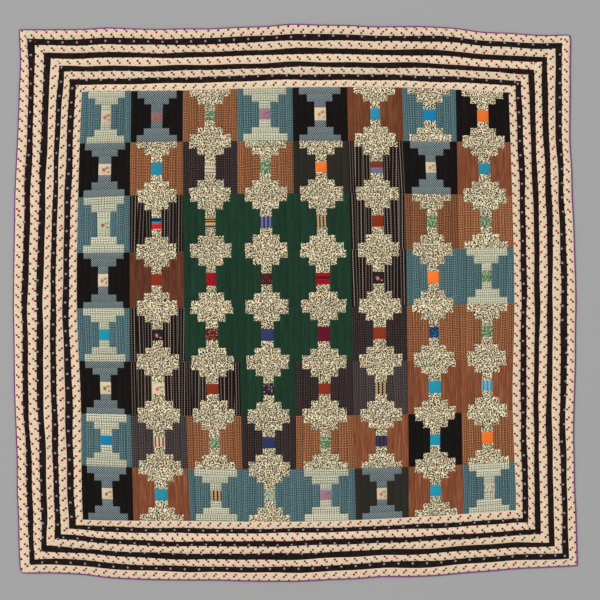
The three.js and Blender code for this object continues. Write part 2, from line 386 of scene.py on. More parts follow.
# %% Centre the quilt on its box
def box_middle():
    """The middle of the quilt's box, from its outer edge at the lines of the plan."""
    far = np.full(len(LINES), OUTER_HALF)
    along = np.concatenate([LINES, LINES, -far, far])
    across = np.concatenate([-far, far, LINES, LINES])
    x, y = place_uncentred(along, across)
    return (x.min() + x.max()) / 2, (y.min() + y.max()) / 2


MIDDLE = box_middle()


def place(u, v):
    """Where points of the even quilt lie in the frame, in metres."""
    x, y = place_uncentred(np.asarray(u, float), np.asarray(v, float))
    return (x - MIDDLE[0]) * MM, (y - MIDDLE[1]) * MM


def read_corners():
    """How far each border seam's corners lie from the plan, from their places in the photograph."""
    strays = no_strays()
    for level, up in (("top", 1), ("bottom", -1)):
        for upright, right in (("left", -1), ("right", 1)):
            planned = place_uncentred(right * STRIP_SEAMS, up * STRIP_SEAMS)
            seen_x, seen_y = np.array(CORNER_SEAMS[f"{level} {upright}"]).T
            x = (seen_x - QUILT_MIDDLE_PIXEL["x"]) * PIXEL / MM + MIDDLE[0]
            y = (QUILT_MIDDLE_PIXEL["y"] - seen_y) * PIXEL / MM + MIDDLE[1]
            strays[upright][int(up < 0)] = (x - planned[0]) * right
            strays[level][int(right > 0)] = (y - planned[1]) * up
    return strays


corner_strays = read_corners()
worst = max(float(np.abs(strays).max()) for strays in corner_strays.values())
print("middle of the box before centring:", MIDDLE)
print("farthest stray of a border corner:", round(worst, 1), "mm")

# %% [markdown]
# Wires and benches
#
# Node trees are easier to read as sums. A bench adds nodes to one tree, and each value that
# comes out of a node is a wire that Python's own signs can add, multiply or compare. The same
# two classes serve the cloths and the shapes.

# %% Wires and benches
class Wire:
    """A value on its way from one node to the next."""

    def __init__(self, bench, socket):
        self.bench = bench
        self.socket = socket

    def __add__(self, other):
        return self.bench.math("ADD", self, other)

    def __radd__(self, other):
        return self.bench.math("ADD", other, self)

    def __sub__(self, other):
        return self.bench.math("SUBTRACT", self, other)

    def __rsub__(self, other):
        return self.bench.math("SUBTRACT", other, self)

    def __mul__(self, other):
        return self.bench.math("MULTIPLY", self, other)

    def __rmul__(self, other):
        return self.bench.math("MULTIPLY", other, self)

    def __truediv__(self, other):
        return self.bench.math("DIVIDE", self, other)

    def __rtruediv__(self, other):
        return self.bench.math("DIVIDE", other, self)

    def __mod__(self, other):
        return self.bench.math("FLOORED_MODULO", self, other)

    def __pow__(self, other):
        return self.bench.math("POWER", self, other)

    def __lt__(self, other):
        return self.bench.math("LESS_THAN", self, other)

    def __gt__(self, other):
        return self.bench.math("GREATER_THAN", self, other)


class Bench:
    """Adds nodes to one tree and wires them up."""

    def __init__(self, tree):
        self.tree = tree

    def node(self, kind, settings=None, values=None, out=0):
        """A new node: its kind, its settings, the values or wires of its sockets, and its output."""
        made = self.tree.nodes.new(kind)
        for name, setting in (settings or {}).items():
            setattr(made, name, setting)
        for name, value in (values or {}).items():
            if isinstance(value, Wire):
                self.tree.links.new(value.socket, made.inputs[name])
            else:
                made.inputs[name].default_value = value
        return Wire(self, made.outputs[out])

    def math(self, operation, *values):
        """One step of a sum."""
        return self.node("ShaderNodeMath", {"operation": operation}, dict(enumerate(values)))

    def floor(self, value):
        """The whole number below a value."""
        return self.math("FLOOR", value)

    def soft_step(self, value, low, high):
        """0 below low, 1 above high, and smooth between them."""
        names = {"Value": value, "From Min": low, "From Max": high}
        return self.node("ShaderNodeMapRange", {"interpolation_type": "SMOOTHSTEP"}, names)

    def vector(self, x, y, z=0.0):
        """A place, from its parts."""
        return self.node("ShaderNodeCombineXYZ", None, {"X": x, "Y": y, "Z": z})

    def parts(self, at):
        """The x and the y of a place."""
        x = self.node("ShaderNodeSeparateXYZ", None, {0: at})
        return x, Wire(self, x.socket.node.outputs["Y"])

    def attribute(self, name, out="Fac"):
        """What a piece carries under a name."""
        return self.node("ShaderNodeAttribute", {"attribute_name": name}, None, out)

    def noise(self, at, scale, detail=2.0):
        """Soft random clouds, from 0 to 1."""
        names = {"Vector": at, "Scale": scale, "Detail": detail, "Roughness": 0.5}
        return self.node("ShaderNodeTexNoise", {"noise_dimensions": "3D"}, names, "Fac")

    def scatter(self, at, randomness):
        """How far the nearest of the scattered seeds is, and that seed's own number by chance."""
        seeds = {"Vector": at, "Scale": 1.0, "Randomness": randomness}
        reach = self.node("ShaderNodeTexVoronoi", {"voronoi_dimensions": "2D"}, seeds)
        colour = Wire(self, reach.socket.node.outputs["Color"])
        return reach, self.node("ShaderNodeSeparateColor", None, {0: colour})

    def blend(self, share, first, second):
        """Two colours, mixed."""
        settings = {"data_type": "RGBA"}
        return self.node("ShaderNodeMix", settings, {"Factor": share, 6: first, 7: second}, 2)

    def dim(self, colour, share):
        """A colour made darker or lighter by a share that varies."""
        values = {0: colour, "Scale": share}
        return self.node("ShaderNodeVectorMath", {"operation": "SCALE"}, values)


print("wires and benches are ready")

# %% [markdown]
# Cotton
#
# Every piece is woven cotton: matt, with a little fuzz that catches the light, and with threads
# that are never quite even. One recipe gives that finish to each cloth, and a short function
# for each cloth gives the colour at a place. Places are counted in millimetres across and along
# the grain, from the piece's own cloth map, so a print follows its patch and not the quilt. Each
# patch also brings the corner of the cloth that it was cut from, and how faded it is.

# %% The inks
INKS = {
    "ivory": (232, 222, 192),
    "tan": (214, 196, 162),
    "gold": (190, 150, 98),
    "orange": (240, 118, 46),
    "coral": (196, 86, 72),
    "rose": (150, 72, 66),
    "brick": (140, 48, 27),
    "crimson": (166, 20, 34),
    "scarlet": (214, 40, 42),
    "burgundy": (98, 20, 38),
    "maroon": (66, 28, 28),
    "brown": (112, 66, 40),
    "black": (24, 22, 21),
    "soft black": (38, 33, 31),
    "grey": (108, 106, 110),
    "sky": (112, 168, 190),
    "teal": (46, 138, 162),
    "turquoise": (34, 146, 166),
    "blue": (14, 126, 172),
    "royal": (45, 88, 160),
    "navy": (34, 40, 78),
    "indigo": (52, 58, 98),
    "plum": (52, 38, 44),
    "mauve": (150, 118, 132),
    "pink": (214, 128, 138),
    "slate": (112, 116, 144),
    "green": (72, 112, 72),
    "mint": (184, 192, 162),
    "olive": (98, 102, 58),
    "emerald": (30, 62, 42),
}


def mixed(level):
    """A colour given by its three levels on a screen, as linear light."""
    return (*(math.pow((part / 255 + 0.055) / 1.055, 2.4) for part in level), 1.0)


def ink(name):
    """A named colour of the palette."""
    return mixed(INKS[name])


print("inks:", len(INKS))

# %% The cotton recipe
THREAD = {"spacing": 1.1, "slub": 9.0, "shade": 0.28, "relief": 0.35, "height": 0.4 * MM}
FUZZ = {"weight": 0.04, "roughness": 0.5}
SHINE = 0.06
CLOTHS = {}


class Cutting:
    """What a cloth's own function works with: a bench, and places in millimetres.

    near_x and near_y count from the middle of the piece, x and y on the cloth it was cut from.
    """

    def __init__(self, bench):
        self.bench = bench
        x, y = bench.parts(bench.node("ShaderNodeUVMap", {"uv_map": "cloth"}))
        self.near_x, self.near_y = x * (1 / MM), y * (1 / MM)
        cut_x, cut_y = bench.parts(bench.attribute("cut", "Vector"))
        self.x = self.near_x + cut_x
        self.y = self.near_y + cut_y
        self.at = bench.vector(self.x, self.y)

    def clouds(self, across, along, detail=1.0, layer=0.0):
        """Soft random clouds, so many millimetres across the grain and along it."""
        at = self.bench.vector(self.x / across, self.y / along, layer)
        return self.bench.noise(at, 1.0, detail)

    def turned(self):
        """The same places with across and along changed over, for clouds of their own."""
        return self.bench.vector(self.y, self.x)

    def dyed(self, which):
        """One of the colours that a scrap brings with it."""
        return self.bench.attribute(which, "Color")

    def band(self, place, pitch, sharp=1.0):
        """Soft bands a pitch apart, 1 in their middles and 0 between them."""
        turn = place * (2 * math.pi / pitch)
        return (self.bench.math("COSINE", turn) * 0.5 + 0.5) ** sharp

    def spot(self, x, y, radius, soft=0.5):
        """1 inside a round spot and 0 outside it."""
        reach = self.bench.math("SQRT", x * x + y * y)
        return 1 - self.bench.soft_step(reach, radius - soft, radius + soft)


def weave(cutting):
    """How high the threads stand, with their thick and thin places."""
    bench = cutting.bench
    spacing, slub = 1 / THREAD["spacing"], 1 / THREAD["slub"]
    warp = bench.noise(bench.vector(cutting.x * spacing, cutting.y * slub), 1.0, 1.0)
    weft = bench.noise(bench.vector(cutting.x * slub, cutting.y * spacing, 7.0), 1.0, 1.0)
    return warp + weft


def cotton(name, paint, roughness=MATT):
    """A woven cotton whose colour comes from the paint function."""
    material = bpy.data.materials.new(name)
    material.use_nodes = True
    tree = material.node_tree
    bench = Bench(tree)
    cutting = Cutting(bench)
    threads = weave(cutting)
    fade = bench.attribute("fade")
    shade = (threads - 1) * THREAD["shade"] + 1 + fade
    colour = bench.dim(paint(cutting), shade)
    relief = {"Strength": THREAD["relief"], "Distance": THREAD["height"], "Height": threads}
    bump = bench.node("ShaderNodeBump", None, relief)
    finish = tree.nodes["Principled BSDF"].inputs
    tree.links.new(colour.socket, finish["Base Color"])
    tree.links.new(bump.socket, finish["Normal"])
    finish["Roughness"].default_value = roughness
    finish["Sheen Weight"].default_value = FUZZ["weight"]
    finish["Sheen Roughness"].default_value = FUZZ["roughness"]
    finish["Specular IOR Level"].default_value = SHINE
    CLOTHS[name] = material


print("the cotton recipe is ready")

# %% [markdown]
# The cloths of the logs
#
# The light logs are calico, a mint check and a blue-grey dogtooth. The dark ones are shadow
# checks, plain cloths and pinstripes. A check is two sets of soft bands that cross, and in some
# places the bands one way are stronger, in others those the other way. The dogtooth
# is a small chequer, dark squares corner to corner with light ones, and a twill line runs through
# it. The calico's specks are the cells of a Voronoi texture, some left out, so they scatter as
# printed sprigs do.

# %% Checks and plain cloths
CHECK = {"sharp": 1.6, "weakest": 0.48, "swing": 0.44, "both": 1.4, "lines": 0.85, "squares": 0.8}


def check(ground, light, dark, pitch):
    """A shadow check: lines cross on the ground, with squares of a third shade between them.

    Where the lines one way are weak, those the other way are strong, and the tone stays even.
    """

    def paint(cut):
        bench = cut.bench
        patchy = bench.soft_step(cut.clouds(across=17, along=21), 0.36, 0.62)
        strength = patchy * CHECK["swing"] + CHECK["weakest"]
        bands = [
            cut.band(cut.x, pitch, CHECK["sharp"]) * strength,
            cut.band(cut.y, pitch, CHECK["sharp"]) * (CHECK["both"] - strength),
        ]
        squares = (1 - bands[0]) * (1 - bands[1])
        lit = bench.blend(bench.math("MAXIMUM", *bands) * CHECK["lines"], ground, light)
        return bench.blend(squares * CHECK["squares"], lit, dark)

    return paint


def plain(ground, streak, amount=0.3, worn=None):
    """A plain cloth with faint streaks along the grain, and worn ones if they have a colour."""

    def paint(cut):
        bench = cut.bench
        streaks = cut.clouds(across=5, along=60, detail=2.0)
        streaked = bench.blend(bench.soft_step(streaks, 0.4, 0.7) * amount, ground, streak)
        if worn is None:
            return streaked
        threads = cut.clouds(across=3.6, along=90, layer=5.0)
        return bench.blend(bench.soft_step(threads, 0.5, 0.72) * amount, streaked, worn)

    return paint


print("checks and plain cloths")

# %% Calico, dogtooth and pinstripe
SPECKS = {"across": 4.9, "up": 4.6, "scatter": 0.85, "edge": (0.42, 0.46)}
SPECK_CHANCES = {"left out": 0.08, "sprig": 0.86}
PINSTRIPE = {"every": 3, "faint": (8, 0.4), "bright": (100, 0.9), "dots": 7.7}


def calico(ground, speck, sprig):
    """Cream cloth, closely printed with dark specks and a few rust sprigs."""

    def paint(cut):
        bench = cut.bench
        at = bench.vector(cut.x / SPECKS["across"], cut.y / SPECKS["up"])
        reach, chance = bench.scatter(at, SPECKS["scatter"])
        print_edge = bench.soft_step(reach, *SPECKS["edge"])
        leaf = (1 - print_edge) * (chance > SPECK_CHANCES["left out"])
        colour = bench.blend(chance > SPECK_CHANCES["sprig"], speck, sprig)
        return bench.blend(leaf, ground, colour)

    return paint


def dogtooth(light, dark, tooth):
    """A small chequer of light and dark teeth, with a twill line through it."""

    def paint(cut):
        bench = cut.bench
        across = bench.floor(cut.x / tooth)
        up = bench.floor(cut.y / tooth)
        dark_tooth = ((across + up) % 2) < 1
        twill = cut.band(cut.x + cut.y, tooth / 2) * 0.1
        return bench.blend(dark_tooth * 0.9 + twill, light, dark)

    return paint


def pinstripe(ground, stripe, pitch):
    """Thin dotted stripes along the grain, every third one bright."""

    def paint(cut):
        faint_sharp, faint = PINSTRIPE["faint"]
        bright_sharp, bright = PINSTRIPE["bright"]
        stripes = cut.bench.math(
            "MAXIMUM",
            cut.band(cut.x, pitch, faint_sharp) * faint,
            cut.band(cut.x, pitch * PINSTRIPE["every"], bright_sharp) * bright,
        )
        dots = cut.band(cut.y, PINSTRIPE["dots"]) * 0.85 + 0.15
        return cut.bench.blend(stripes * dots, ground, stripe)

    return paint


print("calico, dogtooth and pinstripe")

# %% Cut the log cloths
TEAL_CHECK = {"ground": (66, 94, 100), "light": (122, 152, 152), "dark": (25, 49, 58)}
RUST_CHECK = {"ground": (134, 80, 50), "light": (190, 132, 90), "dark": (68, 33, 19)}
PLUM_CHECK = {"ground": (38, 29, 28), "light": (88, 74, 72), "dark": (8, 5, 6)}
GREY_CHECK = {"ground": (58, 49, 49), "light": (106, 94, 93), "dark": (20, 16, 18)}
MINT_CHECK = {"ground": (158, 160, 132), "light": (54, 64, 48), "dark": (236, 232, 206)}


def check_of(colours, pitch):
    """A check from its three colours by name."""
    return check(*(mixed(colours[part]) for part in ("ground", "light", "dark")), pitch)


cotton("teal check", check_of(TEAL_CHECK, 7.7))
cotton("rust check", check_of(RUST_CHECK, 8.4))
cotton("plum check", check_of(PLUM_CHECK, 7.8))
cotton("grey check", check_of(GREY_CHECK, 7.8))
cotton("mint check", check_of(MINT_CHECK, 8.1))
cotton("plain rust", plain(mixed((130, 74, 48)), mixed((92, 46, 30)), 0.55, mixed((166, 112, 78))))
cotton("brown rust", plain(mixed((98, 55, 38)), mixed((56, 30, 22)), 0.6, mixed((116, 74, 52))))
cotton("plain black", plain(mixed((19, 17, 16)), mixed((36, 27, 23))))
cotton("charcoal", plain(mixed((44, 42, 35)), mixed((34, 36, 30))))
cotton("emerald", plain(mixed((29, 58, 41)), mixed((22, 36, 32)), 0.5, mixed((42, 66, 50))))
cotton("pinstripe", pinstripe(mixed((24, 15, 12)), mixed((216, 196, 182)), 10.6))
cotton("calico", calico(mixed((234, 222, 184)), mixed((26, 22, 14)), mixed((132, 58, 42))))
cotton("dogtooth", dogtooth(mixed((144, 158, 160)), mixed((6, 11, 15)), 4.05))
print("log cloths:", len(CLOTHS))

# %% [markdown]
# The scraps in the centres
#
# Each block has one bright square, out of the scrap bag. The bag holds a few kinds of print, and
# each scrap names its kind and up to three inks. The inks travel with the patch as attributes, so
# one material serves every scrap of its kind.

# %% Kinds of scrap
def solid_scrap(cut):
    """A plain dyed scrap."""
    faint = cut.bench.noise(cut.at, scale=0.12) * 0.25
    return cut.bench.blend(faint, cut.dyed("ground"), cut.dyed("figure"))


def mottled_scrap(cut):
    """Leafy blots of two inks."""
    bench = cut.bench
    blots = bench.soft_step(bench.noise(cut.at, scale=0.17, detail=3.0), 0.5, 0.58)
    flecks = bench.soft_step(bench.noise(cut.turned(), scale=0.21), 0.6, 0.66)
    leafy = bench.blend(blots, cut.dyed("ground"), cut.dyed("figure"))
    return bench.blend(flecks, leafy, cut.dyed("accent"))


def flower_scrap(cut):
    """One blown flower with a leaf beside it, on flecked ground."""
    bench, x, y = cut.bench, cut.near_x, cut.near_y
    ruffle = (bench.noise(cut.at, scale=0.22) - 0.5) * 16
    petals = cut.spot(x + 3 + ruffle, y + 2 - ruffle, radius=5.5, soft=2.0)
    bud = cut.spot(x - 11 + ruffle, y + 9, radius=3.2, soft=1.2)
    leaf = cut.spot((x - 8) * 0.7 + ruffle, y * 1.2 - 6 + ruffle, radius=4.5, soft=1.5)
    flecks = bench.soft_step(bench.noise(cut.at, scale=0.3), 0.58, 0.68) * 0.55
    sprinkled = bench.blend(flecks, cut.dyed("ground"), cut.dyed("accent"))
    leafed = bench.blend(leaf * 0.7, sprinkled, cut.dyed("accent"))
    return bench.blend(bench.math("MAXIMUM", petals, bud) * 0.9, leafed, cut.dyed("figure"))


def striped_scrap(cut):
    """Stripes across the scrap, and one thin one between them."""
    bench, pitch = cut.bench, 8.4
    broad = bench.soft_step(cut.band(cut.near_y, pitch), 0.55, 0.75)
    one = cut.band(cut.near_y + pitch / 2, pitch * 3, sharp=30.0)
    striped = bench.blend(broad, cut.dyed("ground"), cut.dyed("figure"))
    return bench.blend(bench.soft_step(one, 0.4, 0.6), striped, cut.dyed("accent"))


def banded_scrap(cut):
    """Three bands across the scrap, finely lined."""
    bench = cut.bench
    lower = bench.soft_step(cut.near_y, -2.5, -1.0)
    upper = bench.soft_step(cut.near_y, 7.0, 8.5)
    two = bench.blend(lower, cut.dyed("ground"), cut.dyed("figure"))
    three = bench.blend(upper, two, cut.dyed("accent"))
    return bench.dim(three, 1.15 - cut.band(cut.near_y, pitch=7.2, sharp=2.0) * 0.5)


def lined_scrap(cut):
    """Thin lines across the scrap, with a row of dashes above them."""
    bench = cut.bench
    lines = bench.soft_step(cut.band(cut.near_y + 3.0, pitch=11.0, sharp=3.0), 0.4, 0.7)
    dashes = bench.soft_step(cut.band(cut.near_x, pitch=8.5), 0.4, 0.6)
    row = cut.band(cut.near_y - 13.0, pitch=60.0, sharp=40.0)
    lined = bench.blend(lines * (cut.near_y < 8.0), cut.dyed("ground"), cut.dyed("figure"))
    return bench.blend(dashes * row, lined, cut.dyed("accent"))


def barred_scrap(cut):
    """Stripes up and down the scrap, with a line of beads beside each."""
    bench, pitch = cut.bench, 13.0
    broad = bench.soft_step(cut.band(cut.near_x, pitch), 0.55, 0.75)
    beads = bench.soft_step(cut.band(cut.near_y, pitch=8.0), 0.4, 0.7)
    beaded = cut.band(cut.near_x + 4.0, pitch, sharp=14.0) * beads
    barred = bench.blend(broad, cut.dyed("ground"), cut.dyed("figure"))
    return bench.blend(beaded, barred, cut.dyed("accent"))


def dotted_scrap(cut):
    """Small scattered blossoms."""
    bench, apart = cut.bench, 9
    at = bench.vector(cut.x / apart, cut.y / apart)
    reach, chance = bench.scatter(at, randomness=0.7)
    blossom = 1 - bench.soft_step(reach, 0.26, 0.34)
    inked = bench.blend(chance > 0.45, cut.dyed("figure"), cut.dyed("accent"))
    return bench.blend(blossom, cut.dyed("ground"), inked)


for scrap in (
    solid_scrap, mottled_scrap, flower_scrap, striped_scrap,
    banded_scrap, lined_scrap, barred_scrap, dotted_scrap,
):
    cotton(scrap.__name__.replace("_", " "), scrap)
print("cloths so far:", len(CLOTHS))

# %% The scrap bag
SCRAPS = {
    "tl": ("solid", "teal", "turquoise", "teal"),
    "bl": ("solid", "blue", "teal", "blue"),
    "tq": ("solid", "turquoise", "blue", "teal"),
    "or": ("solid", "orange", "orange", "gold"),
    "bk": ("solid", "brick", "brown", "brick"),
    "in": ("solid", "indigo", "navy", "indigo"),
    "cr": ("mottled", "crimson", "burgundy", "scarlet"),
    "bu": ("solid", "burgundy", "maroon", "black"),
    "nb": ("mottled", "navy", "blue", "black"),
    "rp": ("mottled", "maroon", "brick", "tan"),
    "mr": ("mottled", "maroon", "soft black", "coral"),
    "pl": ("dotted", "plum", "black", "mauve"),
    "dp": ("barred", "plum", "indigo", "black"),
    "gr": ("mottled", "green", "mint", "emerald"),
    "gp": ("mottled", "green", "mint", "maroon"),
    "gm": ("mottled", "mint", "green", "maroon"),
    "ro": ("flower", "tan", "rose", "brown"),
    "cf": ("flower", "tan", "coral", "olive"),
    "pr": ("flower", "soft black", "pink", "plum"),
    "mf": ("flower", "mint", "crimson", "green"),
    "md": ("dotted", "mint", "rose", "mauve"),
    "ma": ("flower", "mauve", "coral", "royal"),
    "tf": ("flower", "tan", "brown", "rose"),
    "sc": ("lined", "tan", "grey", "soft black"),
    "sn": ("banded", "scarlet", "teal", "navy"),
    "sb": ("banded", "crimson", "burgundy", "crimson"),
    "so": ("banded", "slate", "brick", "brown"),
    "sg": ("striped", "soft black", "gold", "ivory"),
    "vg": ("barred", "soft black", "gold", "ivory"),
    "vi": ("barred", "indigo", "slate", "navy"),
    "vl": ("barred", "sky", "teal", "ivory"),
    "vt": ("barred", "tan", "brown", "pink"),
    "cg": ("dotted", "grey", "coral", "coral"),
}
CENTRES = [
    "ro cg gr ma cf tl bl or",
    "ro tl sc gp or so cf tl",
    "mf sn sg vi vg bk gp gr",
    "ro bk cr mr sb pr or gr",
    "tq pr rp in bu bk nb gr",
    "tf cf bk pl bk vg tq vl",
    "bl vt gp in gr dp tq or",
    "tf tl vg gm ma cf tq md",
]
print("scraps in the bag:", len(SCRAPS))

# %% [markdown]
# The cloths of the borders, the binding and the back
#
# The cream border cloth is printed with pairs of small dots, one crimson and one brown, in
# staggered rows. The black one has single pale dots further apart. A print like that is a grid,
# so each dot is found by folding the place back into one cell of the grid. A strip shows the
# slice of the print that it was cut from: some slices show the pairs, others two separate rows.
# The back doesn't show in the photograph, so it is a plain unbleached cotton.

# %% Border prints
CREAM_PRINT = {"pitch": 35.0, "rows": 19.0, "stagger": 24.5, "pair": 7.0, "dot": 3.9}
BLACK_PRINT = {"pitch": 50.0, "rows": 33.0, "stagger": 25.0, "dot": 3.7}
CREAM_INKS = {
    "ground": (236, 212, 180),
    "mellow": (226, 214, 184),
    "speck": (194, 192, 152),
    "blush": (232, 170, 152),
    "crimson": (150, 16, 62),
    "brown": (84, 26, 44),
}
BLACK_INKS = {"ground": (26, 20, 17), "worn": (40, 28, 23), "dot": (156, 140, 166)}


def printed_dot(cut, x, y, size):
    """1 inside a dot of a staggered print whose first dot is at x and y from here."""
    row = cut.bench.floor(x / size["rows"] + 0.5)
    nearest_x = x - row * size["rows"]
    along = y - row * size["stagger"] + size["pitch"] / 2
    nearest_y = along % size["pitch"] - size["pitch"] / 2
    return cut.spot(nearest_x, nearest_y, size["dot"], soft=0.7)


def cream_border(cut):
    """Cream with pairs of dots."""
    bench, pair = cut.bench, CREAM_PRINT["pair"] / 2
    inks = {name: mixed(level) for name, level in CREAM_INKS.items()}
    mellow = bench.soft_step(bench.noise(cut.at, scale=0.02), 0.35, 0.65)
    ground = bench.blend(mellow, inks["ground"], inks["mellow"])
    specks = bench.soft_step(bench.noise(cut.at, scale=0.16), 0.48, 0.6) * 0.55
    ground = bench.blend(specks, ground, inks["speck"])
    blush = bench.soft_step(bench.noise(cut.turned(), scale=0.13), 0.48, 0.6) * 0.5
    ground = bench.blend(blush, ground, inks["blush"])
    crimson = printed_dot(cut, cut.x - pair, cut.y - pair, CREAM_PRINT)
    brown = printed_dot(cut, cut.x + pair, cut.y + pair, CREAM_PRINT)
    dotted = bench.blend(crimson, ground, inks["crimson"])
    return bench.blend(brown, dotted, inks["brown"])


def black_border(cut):
    """Black with single pale dots."""
    bench = cut.bench
    inks = {name: mixed(level) for name, level in BLACK_INKS.items()}
    worn = bench.soft_step(bench.noise(cut.at, scale=0.05), 0.4, 0.7)
    ground = bench.blend(worn, inks["ground"], inks["worn"])
    dots = printed_dot(cut, cut.x, cut.y, BLACK_PRINT)
    return bench.blend(dots * 0.9, ground, inks["dot"])


cotton("cream print", cream_border)
cotton("black print", black_border)
cotton("purple cotton", plain(mixed((132, 70, 130)), mixed((104, 52, 104)), 0.5), 0.85)
cotton("unbleached cotton", plain(mixed((206, 196, 174)), mixed((190, 178, 152)), 0.4))
print("cloths in all:", len(CLOTHS))

# %% [markdown]
# Which cloth goes where
#
# The plan of a scrap quilt is a chart, one letter for each block. A block takes one dark cloth
# for its side logs and one light cloth for its top and bottom logs.

# %% The plan of the blocks
DARK = {
    "T": "teal check", "K": "plain black", "R": "rust check", "B": "plain rust",
    "W": "brown rust", "P": "plum check", "V": "grey check", "G": "charcoal",
    "S": "pinstripe", "E": "emerald",
}
LIGHT = {"C": "calico", "M": "mint check", "H": "dogtooth"}
SIDE_LOGS = [
    "TKRTKBTK", "KRPRGSKB", "TSEEESRR", "KWEEESTT", "TSEEEPRR", "KSSEPVBB", "TVRPRBKR", "KBTTTGBT",
]
LEVEL_LOGS = [
    "MHCMHCCC", "HCCCCCHC", "MCCCCCCC", "HCCCCCCM", "MCCCCCCC", "HCCCCCCC", "MCCCCCCC", "HCMCMHCM",
]
SIDE_SHADES = {(0, 5): -0.26, (2, 6): -0.2, (2, 7): 0.1}
CLOTH_ORDER = list(CLOTHS)


def patches_of_block():
    """The patches of a block as (left, low, right, high) in half logs, and the job of each."""
    near = ROUNDS * LOG
    far = BLOCK - near
    patches = [((near, near, far, far), "centre")]
    while near > 0:
        patches.append(((near, near - LOG, far, near), "level"))
        patches.append(((near, far, far, far + LOG), "level"))
        patches.append(((near - LOG, near - LOG, near, far + LOG), "side"))
        patches.append(((far, near - LOG, far + LOG, far + LOG), "side"))
        near -= LOG
        far += LOG
    return patches


PATCHES = patches_of_block()
print("patches in a block:", len(PATCHES))

# %% [markdown]
# Laying out a row of blocks
#
# A row is laid out as a coarse grid, one cell to each square of half a log. Each cell knows its
# patch, so it carries the cloth, the corner it was cut from, how faded it is and the scrap's
# inks. Each point knows whether it lies on a seam or inside a patch. That is all that the next
# step needs to puff the patches up.

# %% A grid with what each cell and point carries
CELL_CORNERS = ((0, 0), (1, 0), (1, 1), (0, 1))


def add_maps(mesh, maps):
    """Gives a mesh its maps, of which the cloth map is the one that shows."""
    for which, corners in maps.items():
        layer = mesh.uv_layers.new(name=which)
        layer.data.foreach_set("uv", np.array(corners, np.float32).ravel())
    mesh.uv_layers.active = mesh.uv_layers["cloth"]
    mesh.uv_layers["cloth"].active_render = True


class Layout:
    """A coarse sheet of cells, filled block by block or strip by strip."""

    def __init__(self):
        self.points, self.full, self.lay = [], [], []
        self.cells, self.cloth, self.cut, self.fade = [], [], [], []
        self.inks = {"ground": [], "figure": [], "accent": []}
        self.maps = {"cloth": [], "OFBake": []}

    def add_points(self, u, v, full, lay):
        """Points of the even quilt, how puffed the cloth is there, and where the strip has them."""
        first = sum(len(part) for part in self.points)
        x, y = place(u, v)
        self.points.append(np.stack([x, y, np.zeros_like(x)], axis=1))
        self.full.append(full)
        self.lay.append(lay)
        return first

    def mesh(self, name):
        """The coarse mesh, with all that its points and cells carry."""
        made = bpy.data.meshes.new(name)
        made.from_pydata(np.concatenate(self.points), [], self.cells)
        carried = [
            ("full", "FLOAT", "POINT", "value", np.concatenate(self.full)),
            ("lay", "FLOAT_VECTOR", "POINT", "vector", np.concatenate(self.lay)),
            ("cloth_number", "INT", "FACE", "value", self.cloth),
            ("cut", "FLOAT_VECTOR", "FACE", "vector", self.cut),
            ("fade", "FLOAT", "FACE", "value", self.fade),
        ]
        for which, colours in self.inks.items():
            if colours:
                carried.append((which, "FLOAT_COLOR", "FACE", "color", colours))
        for which, kind, domain, field, values in carried:
            attribute = made.attributes.new(which, kind, domain)
            sort = np.int32 if kind == "INT" else np.float32
            attribute.data.foreach_set(field, np.array(values, sort).ravel())
        add_maps(made, self.maps)
        return made


print("layouts are ready")

# %% Lay out one row of blocks
MAP_CELLS = 3
MAP_MARGIN = 0.012
ROW_SEED = 100
GRAIN_ERROR = 0.014
CUT_REACH = 400.0
FADE_REACH = 0.09
SEAM_SPREAD = 0.8, 1.2
WIDER_CROSS = 2.1
SEAM_ERROR = 1.1
SEAM_LEAN = 0.9
SEAM_LINES = np.array([2, 4, 6, 9, 11, 13])
ROW_COLUMNS = BLOCKS * BLOCK + 1


def patch_numbers():
    """The number of the patch that each half log square of a block belongs to."""
    numbers = np.zeros((BLOCK, BLOCK), int)
    for number, ((left, low, right, high), _) in enumerate(PATCHES):
        numbers[left:right, low:high] = number
    return numbers


def puffed_points(numbers):
    """1 where all four squares around a point are one patch, 0 on a seam."""
    full = np.zeros((BLOCK + 1, BLOCK + 1))
    same = (numbers[1:, 1:] == numbers[:-1, 1:]) & (numbers[1:, 1:] == numbers[1:, :-1])
    full[1:-1, 1:-1] = same & (numbers[1:, 1:] == numbers[:-1, :-1])
    return full


NUMBERS = patch_numbers()
FULL = puffed_points(NUMBERS)


def wandering_seams(chance):
    """How far the seams of a block lie from the even plan, in millimetres."""
    run = np.arange(BLOCK + 1)
    known = np.concatenate([[0], SEAM_LINES, [BLOCK]])
    shifts = []
    for wider in (WIDER_CROSS, 0.0):
        spread = chance.normal(*SEAM_SPREAD)
        shift, lean = np.zeros(BLOCK + 1), np.zeros(BLOCK + 1)
        shift[SEAM_LINES] = spread * np.sign(SEAM_LINES - BLOCK / 2)
        shift[SEAM_LINES] += chance.normal(0, SEAM_ERROR, len(SEAM_LINES))
        shift[SEAM_LINES[[0, -1]]] += (-wider, wider)
        lean[SEAM_LINES] = chance.normal(0, SEAM_LEAN, len(SEAM_LINES))
        shifts.append((np.interp(run, known, shift[known]), np.interp(run, known, lean[known])))
    (across, across_lean), (up, up_lean) = shifts
    far = 2 * run / BLOCK - 1
    kept = np.clip(np.minimum(run, BLOCK - run) / LOG, 0, 1)
    sideways = across[None, :] + across_lean[None, :] * far[:, None]
    upwards = (up[:, None] + up_lean[:, None] * far[None, :]) * kept[None, :]
    return sideways, upwards


